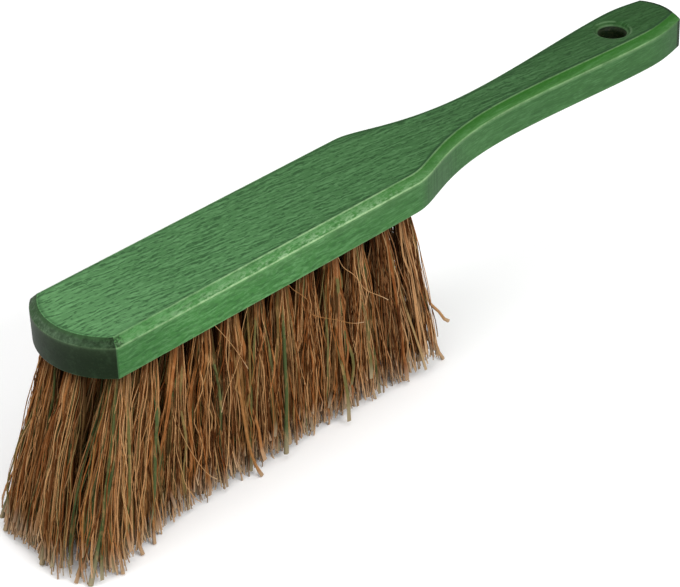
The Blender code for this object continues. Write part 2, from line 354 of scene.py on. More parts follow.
def mitred(before, here, after):
    """The direction that moves a corner outward by 1 on both of its sides."""
    first = (here - before).normalized()
    second = (after - here).normalized()
    first_out = Vector((first.y, -first.x))
    second_out = Vector((second.y, -second.x))
    total = first_out + second_out
    return total / (1 + first_out.dot(second_out))


def outline_rays():
    """Each outline point with its mitred direction and how far a rounded corner draws it in."""
    outline, corners = board_outline()
    rays = []
    for index, here in enumerate(outline):
        before = outline[index - 1]
        after = outline[(index + 1) % len(outline)]
        out = mitred(before, here, after)
        if index not in corners:
            rays.append((here, out, Vector((0, 0))))
            continue
        back = (before - here).normalized() * CORNER_ROUND
        ahead = (after - here).normalized() * CORNER_ROUND
        for step in range(ROUND_STEPS * 2 + 1):
            share = step / (ROUND_STEPS * 2)
            rays.append((here, out, back * (1 - share) ** 2 + ahead * share**2))
    return rays


def rounded_corner(before, corner, after, size):
    """Points of (inset, z) that round one corner of the edge profile."""
    start = corner + (before - corner).normalized() * size
    end = corner + (after - corner).normalized() * size
    points = []
    for step in range(ROUND_STEPS + 1):
        share = step / ROUND_STEPS
        points.append(start * (1 - share) ** 2 + corner * 2 * share * (1 - share) + end * share**2)
    return points


def edge_profile():
    """The board's edge as (inset, z, wear and painted highlight, rim), from the underside up to the top face.
    """
    under = Vector((0, UNDERSIDE_Z))
    low = Vector((0, TOP_Z - TOP_CHAMFER))
    high = Vector((TOP_CHAMFER, TOP_Z))
    inner = Vector((TOP_CHAMFER * 2, TOP_Z))
    centre = Vector((TOP_CHAMFER * 2, UNDERSIDE_Z))
    stations = []
    for before, corner, after, size, wear_and_highlight in [
        (centre, under, low, UNDERSIDE_ROUND, UNDERSIDE_WEAR_AND_HIGHLIGHT),
        (under, low, high, ARRIS_ROUND, ARRIS_WEAR_AND_HIGHLIGHT),
        (low, high, inner, ARRIS_ROUND, TOP_WEAR_AND_HIGHLIGHT),
    ]:
        ring = rounded_corner(before, corner, after, size)
        stations.append((corner + (before - corner).normalized() * (size + WORN_WIDTH), 0.0))
        stations += [(point, wear_and_highlight) for point in ring]
        stations.append((corner + (after - corner).normalized() * (size + WORN_WIDTH), 0.0))
    profile = [(point.x, point.y, wear_and_highlight, 0.0) for point, wear_and_highlight in stations]
    # The top face's first ring marks its rim, which the material darkens
    inset, z, wear_and_highlight, _ = profile.pop()
    return profile + [(inset, z, wear_and_highlight, 1.0), (inset + RIM_WIDTH, TOP_Z, 0.0, 0.0)]


def board_mesh():
    """Rings of the outline, each set in and raised by the edge profile, closed above and below."""
    rays = outline_rays()
    bm = bmesh.new()
    wear_and_highlight_layer = bm.verts.layers.float.new("wear_and_highlight")
    rim_layer = bm.verts.layers.float.new("rim")
    rings = []
    for inset, z, wear_and_highlight, rim in edge_profile():
        ring = []
        for point, out, drawn_in in rays:
            place = point - out * inset + drawn_in * max(0.0, 1 - inset / ROUND_FADE)
            vert = bm.verts.new((place.x + BOARD_SHIFT, place.y, z))
            vert[wear_and_highlight_layer] = wear_and_highlight
            vert[rim_layer] = rim
            ring.append(vert)
        rings.append(ring)
    skin(rings, bm.faces.new)
    bmesh.ops.remove_doubles(bm, verts=bm.verts, dist=WELD_DISTANCE)
    bmesh.ops.recalc_face_normals(bm, faces=bm.faces)
    return new_mesh("stock_board", bm)


def turned(bm, profile, sides, place):
    """A closed solid of revolution about Z from (radius, z) pairs, bottom to top."""
    rings = []
    for radius, z in profile:
        ring = []
        for side in range(sides):
            angle = math.tau * side / sides
            ring.append(bm.verts.new(place @ Vector((radius * math.cos(angle), radius * math.sin(angle), z))))
        rings.append(ring)
    skin(rings, bm.faces.new)


def hang_profile():
    """Half of the hang hole: the bore, its countersink and a rim that rolls into the face."""
    bore = Vector((HANG_BORE_RADIUS, -HANG_RIM_DEPTH))
    rim = Vector((HANG_RIM_RADIUS, 0))
    points = rounded_corner(bore - Vector((0, CUT_MARGIN)), bore, rim, HANG_RIM_ROUND)
    points += rounded_corner(bore, rim, rim + Vector((CUT_MARGIN, 0)), HANG_RIM_ROUND)
    return [(point.x, point.y) for point in points]


def hang_cutter():
    half = hang_profile()
    widest = half[-1][0]
    upper = [(radius, TOP_Z + depth) for radius, depth in half[:-1]]
    lower = [(radius, UNDERSIDE_Z - depth) for radius, depth in reversed(half[:-1])]
    profile = [(widest, UNDERSIDE_Z - CUT_MARGIN), (widest, UNDERSIDE_Z - CUT_SKIN)] + lower
    profile += upper + [(widest, TOP_Z + CUT_SKIN), (widest, TOP_Z + CUT_MARGIN)]
    bm = bmesh.new()
    turned(bm, profile, HANG_SIDES, Matrix.Translation((HANG_X, 0, 0)))
    return bm


# Places and directions of the tufts


def flared(x, y):
    """Where bristles rooted at (x, y) would meet the floor, in the board's own x."""
    front = min(1.0, max(0.0, 1 - (x - INNER_ROW_START) / FRONT_FLARE_REACH)) ** 2
    rear = min(1.0, max(0.0, 1 - (LAST_COLUMN_X - x) / REAR_FLARE_REACH)) ** 2
    side = min(1.0, max(-1.0, y / OUTER_ROW_Y))
    corner_gain = LEFT_CORNER_GAIN if side < 0 else RIGHT_CORNER_GAIN
    front_gain = LEFT_FRONT_GAIN if side < 0 else 0
    forward = FRONT_FLARE * front * (1 + corner_gain * side**2)
    outward = SIDE_FLARE * side * abs(side) * (1 + front_gain * front + REAR_SIDE_GAIN * rear)
    return x - forward + REAR_FLARE * rear, y + outward


def front_edge(y):
    """How far toward the nose bristles may be rooted at y before the flare carries them on."""
    setback = (OUTER_ROW_START - INNER_ROW_START) * (y / OUTER_ROW_Y) ** 2
    return INNER_ROW_START + setback - EDGE_REACH


def swept(draw, mouth):
    """How far a fibre's tip lies from the tuft's own flare: forward, or out at the left corner."""
    middle = smooth(*SWEEP_START, mouth.x) * (1 - smooth(*SWEEP_END, mouth.x))
    corner = (1 - smooth(*CORNER_FADE, mouth.x)) * max(0.0, -mouth.y / OUTER_ROW_Y) ** 2
    forward = FORWARD_SWEEP * middle * draw.random()
    forward -= CORNER_BACK * corner * draw.uniform(*CORNER_SCATTER)
    return -forward, -CORNER_OUT * corner * draw.random()


def tuft_places():
    """Each tuft's node and hole mouth, in the board's own x."""
    places = []
    for row in range(ROWS):
        outer = row in (0, ROWS - 1)
        side = "left" if row < ROWS / 2 else "right"
        place = "outer" if outer else "inner"
        start = OUTER_ROW_START if outer else INNER_ROW_START
        count = COLUMNS if outer else COLUMNS + 1
        for column in range(count):
            x = start + (LAST_COLUMN_X - start) * column / (count - 1)
            mouth = Vector((x, row * ROW_PITCH - OUTER_ROW_Y, UNDERSIDE_Z))
            places.append((f"tuft_{side}_{place}_{column + 1:02d}", mouth))
    return places


def tuft_axis(mouth):
    foot = Vector((*flared(mouth.x, mouth.y), 0))
    return (mouth - foot).normalized()


def hole_cutters():
    bm = bmesh.new()
    for _, mouth in tuft_places():
        axis = tuft_axis(mouth)
        turn = axis.to_track_quat("Z", "Y").to_matrix().to_4x4()
        place = Matrix.Translation(mouth + Vector((BOARD_SHIFT, 0, 0))) @ turn
        turned(bm, [(HOLE_RADIUS, -CUT_MARGIN), (HOLE_RADIUS, HOLE_DEPTH)], HOLE_SIDES, place)
    return bm


def cut(obj, cutter_bm):
    """Cuts the shape out of obj and applies the cut."""
    bmesh.ops.recalc_face_normals(cutter_bm, faces=cutter_bm.faces)
    cutter = new_object("cutter", new_mesh("cutter", cutter_bm))
    modifier = obj.modifiers.new("cut", "BOOLEAN")
    modifier.operation = "DIFFERENCE"
    modifier.solver = "EXACT"
    modifier.object = cutter
    graph = bpy.context.evaluated_depsgraph_get()
    result = bpy.data.meshes.new_from_object(obj.evaluated_get(graph))
    obj.modifiers.remove(modifier)
    obj.data = result
    bpy.data.objects.remove(cutter)


# Node helpers


def new_material(name):
    material = bpy.data.materials.new(name)
    material.use_nodes = True
    tree = material.node_tree
    return material, tree, tree.nodes["Principled BSDF"]


def feed(tree, socket, value):
    """Sets a socket to a constant, or links it to another node's output."""
    if isinstance(value, bpy.types.NodeSocket):
        tree.links.new(value, socket)
    else:
        socket.default_value = value


def calc(tree, operation, first, second=0.0, clamp=False):
    node = tree.nodes.new("ShaderNodeMath")
    node.operation = operation
    node.use_clamp = clamp
    feed(tree, node.inputs[0], first)
    feed(tree, node.inputs[1], second)
    return node.outputs[0]


def product(tree, first, *others):
    for other in others:
        first = calc(tree, "MULTIPLY", first, other)
    return first


def distance(tree, across, ahead):
    return calc(tree, "SQRT", calc(tree, "ADD", product(tree, across, across), product(tree, ahead, ahead)))


def shifted(tree, value, field, reach):
    """The value moved to and fro by a noise field, so that what it bounds is ragged."""
    return calc(tree, "ADD", value, product(tree, calc(tree, "SUBTRACT", field, 0.5), reach))


def ranged(tree, value, low, high, to_low=0.0, to_high=1.0, steps="SMOOTHSTEP"):
    """Passes from to_low to to_high while the value goes from low to high."""
    node = tree.nodes.new("ShaderNodeMapRange")
    node.interpolation_type = steps
    feed(tree, node.inputs["Value"], value)
    node.inputs["From Min"].default_value = low
    node.inputs["From Max"].default_value = high
    feed(tree, node.inputs["To Min"], to_low)
    feed(tree, node.inputs["To Max"], to_high)
    return node.outputs["Result"]


def blended(tree, share, none, full):
    """The value that holds where the share is 0, passing to the one that holds where it is 1."""
    return ranged(tree, share, 0, 1, none, full)


def mixed(tree, factor, first, second):
    node = tree.nodes.new("ShaderNodeMix")
    node.data_type = "RGBA"
    feed(tree, node.inputs["Factor"], factor)
    feed(tree, node.inputs[6], first)
    feed(tree, node.inputs[7], second)
    return node.outputs[2]


def coated(tree, colour, *coats):
    """The colour under a row of coats, each given as its colour and the factors of its share."""
    for coat, *factors in coats:
        colour = mixed(tree, product(tree, *factors), colour, coat)
    return colour


def ramp(tree, value, stops):
    node = tree.nodes.new("ShaderNodeValToRGB")
    tree.links.new(value, node.inputs["Fac"])
    elements = node.color_ramp.elements
    while len(elements) < len(stops):
        elements.new(0.5)
    for element, (position, colour) in zip(elements, stops):
        element.position = position
        element.color = (*colour, 1)
    return node.outputs["Color"]


def separated(tree, vector):
    node = tree.nodes.new("ShaderNodeSeparateXYZ")
    tree.links.new(vector, node.inputs[0])
    return node.outputs


def vector_calc(tree, operation, vector, amount):
    node = tree.nodes.new("ShaderNodeVectorMath")
    node.operation = operation
    tree.links.new(vector, node.inputs[0])
    feed(tree, node.inputs[1], amount)
    return node.outputs[0]


def noise(tree, vector, scale, detail, roughness):
    node = tree.nodes.new("ShaderNodeTexNoise")
    tree.links.new(vector_calc(tree, "MULTIPLY", vector, scale), node.inputs["Vector"])
    node.inputs["Scale"].default_value = 1.0
    node.inputs["Detail"].default_value = detail
    node.inputs["Roughness"].default_value = roughness
    return node.outputs["Fac"]


def flecks(tree, vector, size, kept):
    """One short dash in each cell of the field, of which only a share is kept."""
    node = tree.nodes.new("ShaderNodeTexVoronoi")
    tree.links.new(vector, node.inputs["Vector"])
    node.inputs["Scale"].default_value = 1.0
    core = ranged(tree, node.outputs["Distance"], size, size * FLECK_CORE)
    channels = tree.nodes.new("ShaderNodeSeparateColor")
    tree.links.new(node.outputs["Color"], channels.inputs[0])
    chosen = ranged(tree, channels.outputs[0], 1 - kept, 1 + FLECK_FADE - kept, 0.0, 1.0, "LINEAR")
    return product(tree, core, chosen)


def bump(tree, height, strength, depth):
    node = tree.nodes.new("ShaderNodeBump")
    node.inputs["Strength"].default_value = strength
    node.inputs["Distance"].default_value = depth
    tree.links.new(height, node.inputs["Height"])
    return node.outputs["Normal"]


def attribute(tree, name):
    node = tree.nodes.new("ShaderNodeAttribute")
    node.attribute_name = name
    return node.outputs["Fac"]


# Colours of the stain, and of the light and shade painted on it

STAIN_TOP = (0.057, 0.163, 0.054, 1)
STAIN_SIDE = (0.036, 0.148, 0.031, 1)
STAIN_CHAMFER = (0.05, 0.163, 0.043, 1)
STAIN_CHAMFER_TAIL = (0.032, 0.125, 0.02, 1)
STAIN_CHAMFER_DEEP = (0.014, 0.08, 0.006, 1)
PAINTED_SHADE_GREEN = (0.006, 0.036, 0.003, 1)
STAIN_LIGHT = (0.13, 0.3, 0.122, 1)
STAIN_DARK = (0.01, 0.044, 0.012, 1)
STAIN_WORN_AND_HIGHLIGHT = (0.31, 0.47, 0.24, 1)
STAIN_FROST_AND_HIGHLIGHT = (0.2, 0.33, 0.172, 1)
STAIN_GREY = (0.036, 0.08, 0.032, 1)
SAWN_GREY = (0.028, 0.07, 0.027, 1)
END_GRAIN = (0.003, 0.0104, 0.0018, 1)
END_PORES = (0.026, 0.052, 0.022, 1)
END_CHAMFER = (0.04, 0.074, 0.037, 1)
END_RUBBED = (0.085, 0.135, 0.078, 1)
END_SHADE = (0.019, 0.043, 0.017, 1)
END_GREEN = (0.02, 0.056, 0.016, 1)
BORE_PAINTED_SHADE = (0.003, 0.009, 0.002, 1)
BORE_PAINTED_LIGHT = (0.03, 0.032, 0.012, 1)

# Noise fields, along the grain and not: scale along x, y and z per metre, detail and roughness
GRAIN_FIELDS = {
    "waver": ((115, 330, 330), 3, 0.6),
    "breaks": ((270, 620, 620), 2, 0.6),
    "hair": ((130, 2200, 2200), 2, 0.6),
    "bands": ((7, 150, 150), 2, 0.5),
    "veins": ((30, 620, 620), 2, 0.6),
}
PLACE_FIELDS = {
    "patches": ((22, 40, 40), 2, 0.5),
    "mottle": ((170, 520, 520), 3, 0.6),
    "rub": ((110, 110, 110), 4, 0.7),
    "scuff": ((480, 1200, 1200), 3, 0.65),
    "teeth": ((800, 800, 30), 3, 0.6),
    "pores": ((1300, 1300, 1300), 3, 0.65),
    "ragged": ((420, 420, 420), 3, 0.6),
    "smudge": ((260, 260, 260), 3, 0.6),
}

# Strokes: long cells that stand on the top face and lie across the sides, a dash in each with a painted
# highlight shifted beside it, and furrows
GRAIN_TURN = math.radians(7)
TOP_CELLS = (200, 1000, 30, 1)
SIDE_CELLS = (200, 30, 1000, 1)
TOP_HIGHLIGHT_SHIFT = (0, 1.1, 0, 1)
SIDE_HIGHLIGHT_SHIFT = (0, 0, 1.1, 1)
DASH_SIZE = 0.4
HIGHLIGHT_SIZE = 0.42
STROKES_KEPT = 0.62
FLECK_CORE = 0.35
FLECK_FADE = 0.15
FURROW_PITCH = 0.0023
FURROW_WAVER = 18

# Marks on the stock, and stretches of its length over which the stain and the painted light and shade change
ARRIS_Z = TOP_Z - TOP_CHAMFER
END_X = TAIL_X + BOARD_SHIFT
TOWARD_TAIL = (-0.15, 0.1)
PAST_NOSE = (-0.148, -0.07)
NEAR_NOSE = (-0.105, -0.145)
BEHIND_NOSE = (-0.15, -0.12)
BEFORE_HANDLE = (0.0, 0.03)
PALM = (0.07, 0.17)
BEFORE_TAIL = (0.15, 0.172)
TAIL_RIM = (END_X - 0.004, END_X - 0.002)
TAIL_EDGE = (END_X - 0.0034, END_X - 0.002)
REAR_HALF = (0.0, 0.05)

# Stretches across the nose's chamfer, from its right corner to its left
NOSE_GREEN = (0.017, 0.007)
NOSE_SHADE = (-0.008, -0.018)
NOSE_CHAFED = (0.01, -0.018)
NOSE_PITTED = (0.012, -0.022)

# Heights over which the stain and the painted light and shade change
DEEP_GREEN_Z = (ARRIS_Z + 0.001, TOP_Z - 0.0003)
PALE_Z = (ARRIS_Z + 0.0014, ARRIS_Z)
NOSE_TOP_SHADOW_Z = (TOP_Z - 0.0015, TOP_Z - 0.0003)
BELOW_ARRIS_SHADE_Z = (ARRIS_Z - 0.0016, ARRIS_Z + 0.0002)
FROST_Z = (ARRIS_Z, TOP_Z - TOP_CHAMFER * 0.2)
DUST_Z = (ARRIS_Z - 0.006, ARRIS_Z - 0.0005)
POWDER_AND_HIGHLIGHT_Z = (ARRIS_Z - 0.0017, ARRIS_Z - 0.0002)
END_WEAR_AND_HIGHLIGHT_Z = (TOP_Z - 0.0022, TOP_Z - 0.001)

# Distances from the hang hole's axis over which the stain and the painted light and shade change
HANG_FACE = (HANG_RIM_RADIUS - 0.0001, HANG_RIM_RADIUS + 0.0004)
HANG_SINK_SHADE = (HANG_RIM_RADIUS, HANG_RIM_RADIUS - 0.0004)
HANG_HIGHLIGHT_START = (0.0074, 0.0078)
HANG_HIGHLIGHT_END = (0.0087, 0.0082)
HANG_SLOPE_HIGHLIGHT = (0.0072, 0.0065)
HANG_BORE_SHADE = (0.0065, 0.006)

# Beech


def stock_faces(tree, coordinates):
    """Where a point of the stock is, and how far it belongs to a side, a chamfer or an end."""
    at = SimpleNamespace(place=coordinates.outputs["Object"])
    at.x, at.y, at.z = separated(tree, at.place)
    along, _, up = separated(tree, coordinates.outputs["Normal"])
    flat_size = calc(tree, "SQRT", calc(tree, "SUBTRACT", 1.0, product(tree, up, up)))
    endward = calc(tree, "ABSOLUTE", along)
    at.lean = calc(tree, "DIVIDE", endward, calc(tree, "MAXIMUM", flat_size, 0.01))
    at.radius = distance(tree, calc(tree, "SUBTRACT", at.x, HANG_X), at.y)
    unbored = ranged(tree, at.radius, *HANG_FACE)
    at.upright = product(tree, ranged(tree, flat_size, 0.25, 0.5), unbored)
    at.endways = ranged(tree, at.lean, 0.52, 0.6)
    at.end = product(tree, at.endways, at.upright)
    at.side = product(tree, ranged(tree, flat_size, 0.85, 0.97), unbored)
    at.chamfer = calc(tree, "SUBTRACT", at.upright, at.side, clamp=True)
    at.toward_tail = ranged(tree, at.x, *TOWARD_TAIL)
    at.on_handle = ranged(tree, at.toward_tail, 0.4, 0.9)
    return at


def askew_grain(tree, at):
    """Coordinates along the grain, which runs askew across the top and straight along the sides."""
    turn = tree.nodes.new("ShaderNodeVectorRotate")
    turn.rotation_type = "Z_AXIS"
    tree.links.new(at.place, turn.inputs["Vector"])
    tree.links.new(blended(tree, at.upright, GRAIN_TURN, 0), turn.inputs["Angle"])
    return turn.outputs["Vector"]


def stock_fields(tree, at, grain):
    fields = {name: noise(tree, grain, *look) for name, look in GRAIN_FIELDS.items()}
    fields |= {name: noise(tree, at.place, *look) for name, look in PLACE_FIELDS.items()}
    return SimpleNamespace(**fields)


def grain_strokes(tree, at, grain, fields):
    """Light and dark strokes: dashes with painted highlights beside them, and wavy furrows that break off
    again and again.
    """
    cells = vector_calc(tree, "MULTIPLY", grain, mixed(tree, at.upright, TOP_CELLS, SIDE_CELLS))
    highlight_cells = vector_calc(tree, "ADD", cells, mixed(tree, at.upright, TOP_HIGHLIGHT_SHIFT, SIDE_HIGHLIGHT_SHIFT))
    dashes = flecks(tree, cells, DASH_SIZE, STROKES_KEPT)
    relief_highlights = flecks(tree, highlight_cells, HIGHLIGHT_SIZE, STROKES_KEPT)
    _, on_top, on_side = separated(tree, grain)
    across = product(tree, blended(tree, at.upright, on_top, on_side), math.tau / FURROW_PITCH)
    furrow = calc(tree, "SINE", shifted(tree, across, fields.waver, FURROW_WAVER))
    broken = ranged(tree, fields.breaks, 0.42, 0.54)
    hollow = product(tree, ranged(tree, furrow, 0.1, 0.9), broken)
    ridge = product(tree, ranged(tree, furrow, -0.1, -0.9), broken)
    # Painted highlight: a pale copy of the dashes beside them, together with the furrows' pale ridges
    light = calc(tree, "MAXIMUM", product(tree, relief_highlights, 0.45), product(tree, ridge, 0.54))
    dark = calc(tree, "MAXIMUM", product(tree, dashes, 0.6), product(tree, hollow, 0.64))
    side_boldness = ranged(tree, at.toward_tail, 0.2, 0.9, 0.55, 0.14)
    boldness = blended(tree, at.upright, 1.0, side_boldness)
    return product(tree, light, boldness), product(tree, dark, boldness)


def stained_wood(tree, at, fields, pale_stroke_and_highlight, dark_stroke):
    """The stain of the top and the sides, uneven along the grain, with bolder veins and painted shade toward
    the tail.
    """
    chamfer_stain = mixed(tree, at.toward_tail, STAIN_CHAMFER, STAIN_CHAMFER_TAIL)
    calm = calc(tree, "SUBTRACT", 1.0, product(tree, at.chamfer, at.toward_tail, 0.3))
    vein_depth = product(tree, ranged(tree, at.toward_tail, 0.3, 1.0, 0.12, 0.4), calm)
    vein_depth = product(tree, vein_depth, blended(tree, at.side, 1.0, 0.45))
    band_depth = product(tree, ranged(tree, at.toward_tail, 0.3, 0.8, 0.15, 0.34), calm)
    mottling = product(tree, at.side, ranged(tree, at.toward_tail, 0.5, 1.0, 0.24, 0.12))
    near_nose = ranged(tree, shifted(tree, at.x, fields.patches, 0.03), *NEAR_NOSE)
    behind_nose_shade = ranged(tree, at.x, *BEHIND_NOSE)
    behind_nose_shade = product(tree, behind_nose_shade, ranged(tree, at.x, *BEFORE_HANDLE, 1.0, 0.0))
    top_share = blended(tree, at.upright, 1.0, 0.38)
    palm_shade = ranged(tree, at.x, *PALM, 0.5, 0.74)
    return coated(
        tree,
        mixed(tree, at.side, STAIN_TOP, STAIN_SIDE),
        (chamfer_stain, at.chamfer),
        (STAIN_GREY, at.side, at.toward_tail, 0.5),
        (STAIN_LIGHT, pale_stroke_and_highlight),
        (STAIN_DARK, ranged(tree, fields.veins, 0.48, 0.68), vein_depth),
        (STAIN_LIGHT, ranged(tree, fields.veins, 0.46, 0.3), vein_depth, 0.8),
        (STAIN_LIGHT, ranged(tree, fields.hair, 0.5, 0.75, 0, 0.35), calm),
        (STAIN_DARK, ranged(tree, fields.bands, 0.45, 0.75), band_depth),
        (STAIN_LIGHT, ranged(tree, fields.patches, 0.45, 0.75, 0, 0.12), calm),
        (STAIN_LIGHT, ranged(tree, fields.mottle, 0.5, 0.7), mottling),
        (STAIN_DARK, ranged(tree, fields.mottle, 0.5, 0.3), mottling),
        # Painted light on the top near the nose; the sides there are darker
        (STAIN_LIGHT, near_nose, blended(tree, at.upright, 0.28, 0.0)),
        (STAIN_DARK, near_nose, at.side, 0.38),
        (STAIN_DARK, dark_stroke),
        # Painted shade: the light falls off toward the tail, most on the top and over the palm
        (PAINTED_SHADE_GREEN, at.toward_tail, top_share, palm_shade),
        # Painted shade on the top behind the nose
        (STAIN_DARK, behind_nose_shade, blended(tree, at.upright, 0.07, 0.0)),
        (STAIN_DARK, ranged(tree, at.x, *BEFORE_TAIL, 0.0, 0.34), at.side),
    )


def handle_edges(tree, at, fields, colour):
    """The handle's chamfer, greener toward the top and pale with wear and painted highlight by its lower
    arris, and a darker band along the top face's rim.
    """
    ragged_z = shifted(tree, at.z, fields.scuff, 0.0022)
    deep_green = ranged(tree, ragged_z, *DEEP_GREEN_Z, 0.0, 0.8)
    pale = ranged(tree, ragged_z, *PALE_Z, 0.0, 0.06)
    rim = attribute(tree, "rim")
    rim_depth = ranged(tree, fields.patches, 0.3, 0.6, 0.22, 0.46)
    handle_gain = blended(tree, at.on_handle, 1.0, 1.9)
    return coated(
        tree,
        colour,
        (STAIN_CHAMFER_DEEP, deep_green, at.chamfer, at.on_handle),
        # Wear and painted highlight along the chamfer's lower arris
        (STAIN_WORN_AND_HIGHLIGHT, pale, at.chamfer, at.on_handle),
        # A darker band along the top face's rim
        (STAIN_DARK, ranged(tree, rim, 0.0, 0.8), rim_depth, handle_gain),
        (END_GRAIN, ranged(tree, at.x, *TAIL_RIM, 0.0, 0.8), ranged(tree, rim, 0.3, 0.9)),
    )


def sawn_neck(tree, at, fields, colour):
    """The saw crossed the grain where the sides lean in at the neck, and left them grey."""
    crossed = product(tree, ranged(tree, at.lean, 0.12, 0.42), at.side)
    toothed = ranged(tree, fields.teeth, 0.52, 0.4, 0, 0.55)
    return coated(tree, colour, (SAWN_GREY, crossed, 0.7), (STAIN_DARK, crossed, toothed))


def end_grain(tree, at, fields, colour):
    """Dark end grain on nose and tail, under a rubbed chamfer with painted shade that darkens it from right
    to left, along its top and over the tail.
    """
    smudged_y = shifted(tree, at.y, fields.smudge, 0.02)
    chafed = ranged(tree, at.y, *NOSE_CHAFED, 0.52, 0.12)
    pitted = ranged(tree, at.y, *NOSE_PITTED, 0.36, 0.62)
    ragged_top = shifted(tree, at.z, fields.ragged, 0.0016)
    ragged_arris = shifted(tree, at.z, fields.ragged, 0.003)
    end_chamfer = coated(
        tree,
        mixed(tree, ranged(tree, smudged_y, *NOSE_GREEN), END_GREEN, END_CHAMFER),
        # Painted shade toward the left corner, and over the tail's chamfer
        (END_SHADE, ranged(tree, smudged_y, *NOSE_SHADE)),
        (END_SHADE, ranged(tree, at.x, *REAR_HALF)),
        (END_RUBBED, ranged(tree, fields.scuff, 0.45, 0.62), chafed),
        (END_GRAIN, ranged(tree, fields.ragged, 0.6, 0.36), pitted),
        # Painted shadow along the top of the nose's chamfer
        (END_GREEN, ranged(tree, ragged_top, *NOSE_TOP_SHADOW_Z, 0, 0.75)),
    )
    end_colour = coated(
        tree,
        mixed(tree, ranged(tree, fields.pores, 0.5, 0.75, 0, 0.18), END_GRAIN, END_PORES),
        (END_PORES, ranged(tree, fields.smudge, 0.5, 0.75, 0, 0.25)),
        # Painted shade on the end face just below its chamfer
        (END_SHADE, ranged(tree, ragged_arris, *BELOW_ARRIS_SHADE_Z, 0, 0.45)),
        (end_chamfer, at.chamfer),
    )
    # The nose's corners are rubbed round, which shows their dark end grain in patches
    past_corner = calc(tree, "SUBTRACT", at.x, BOARD_SHIFT + 0.0005)
    inside_corner = calc(tree, "SUBTRACT", calc(tree, "ABSOLUTE", at.y), BLOCK_WIDTH / 2 - 0.0015)
    from_corner = shifted(tree, distance(tree, past_corner, inside_corner), fields.ragged, 0.006)
    corner = ranged(tree, from_corner, 0.0042, 0.002)
    patchy = ranged(tree, fields.pores, 0.62, 0.42, 0, 0.85)
    return coated(tree, colour, (end_colour, at.end), (END_GRAIN, corner, at.chamfer, patchy))


def worn_and_highlit_edges(tree, at, fields, colour):
    """Frost on the chamfer, dust below it, worn arrises with painted highlights that spread as powder onto
    the side below the lower arris, and the tail's dark edge.
    """
    past_nose = ranged(tree, at.x, *PAST_NOSE, 0.34, 1.0)
    low_share = ranged(tree, at.z, *FROST_Z, 1.0, 0.3)
    mottled = ranged(tree, shifted(tree, fields.scuff, fields.rub, 0.6), 0.37, 0.66)
    before_handle = ranged(tree, at.toward_tail, 0.35, 0.9, 0.94, 0.0)
    beside_end = blended(tree, at.end, 1, 0.1)
    dust = blended(tree, at.on_handle, 0.05, 0.0)
    dusted = ranged(tree, at.z, *DUST_Z, 0.0, dust)
    # Wear and painted highlight spread as powder onto the side below the lower arris
    powder_and_highlight = ranged(tree, at.z, *POWDER_AND_HIGHLIGHT_Z, 0.0, 0.56)
    powder_and_highlight = product(tree, powder_and_highlight, at.side, ranged(tree, at.toward_tail, 0.4, 1.0, 0.25, 0.5))
    before_tail = ranged(tree, at.x, *BEFORE_TAIL, 1.0, 0.15)
    rubbed = ranged(tree, fields.rub, 0.34, 0.56, 0.5, 1.0)
    rubbed = product(tree, rubbed, ranged(tree, fields.scuff, 0.35, 0.55, 0.7, 1.0))
    wear_and_highlight_depth = ranged(tree, at.toward_tail, 0.3, 0.9, 1.15, 0.43)
    # Wear and painted highlight along the arrises
    wear_and_highlight = calc(tree, "MAXIMUM", product(tree, attribute(tree, "wear_and_highlight"), wear_and_highlight_depth), powder_and_highlight)
    end_wear_and_highlight = ranged(tree, at.z, *END_WEAR_AND_HIGHLIGHT_Z, 0.15, 0.0)
    lengthways = blended(tree, at.endways, 0.8, end_wear_and_highlight)
    return coated(
        tree,
        colour,
        (STAIN_FROST_AND_HIGHLIGHT, at.chamfer, low_share, mottled, before_handle, past_nose, beside_end),
        (STAIN_WORN_AND_HIGHLIGHT, dusted, at.side, past_nose),
        (STAIN_WORN_AND_HIGHLIGHT, wear_and_highlight, rubbed, before_tail, past_nose, lengthways),
        (END_GRAIN, ranged(tree, at.x, *TAIL_EDGE, 0.0, 0.85), at.side),
    )


def hang_hole(tree, at, fields, colour):
    """The countersink keeps the face's colour under painted shade, with painted highlights on its lip and
    slope; painted shade darkens the bore.
    """
    lip_highlight = product(tree, ranged(tree, at.radius, *HANG_HIGHLIGHT_START), ranged(tree, at.radius, *HANG_HIGHLIGHT_END))
    slope_highlight = ranged(tree, at.radius, *HANG_SLOPE_HIGHLIGHT)
    # The bore's painted shade, with painted light streaking its far wall
    bore = mixed(tree, ranged(tree, fields.hair, 0.5, 0.62, 0, 0.45), BORE_PAINTED_SHADE, BORE_PAINTED_LIGHT)
    return coated(
        tree,
        colour,
        # Painted shade inside the countersink
        (PAINTED_SHADE_GREEN, ranged(tree, at.radius, *HANG_SINK_SHADE, 0.0, 0.32)),
        # Painted highlights round the countersink's lip and down its slope, broken up by noise
        (STAIN_FROST_AND_HIGHLIGHT, lip_highlight, ranged(tree, fields.rub, 0.45, 0.6, 0.0, 0.2)),
        (STAIN_FROST_AND_HIGHLIGHT, slope_highlight, ranged(tree, fields.rub, 0.4, 0.6, 0.1, 0.25)),
        # Painted shade over the bore and the countersink's foot
        (bore, ranged(tree, at.radius, *HANG_BORE_SHADE)),
    )


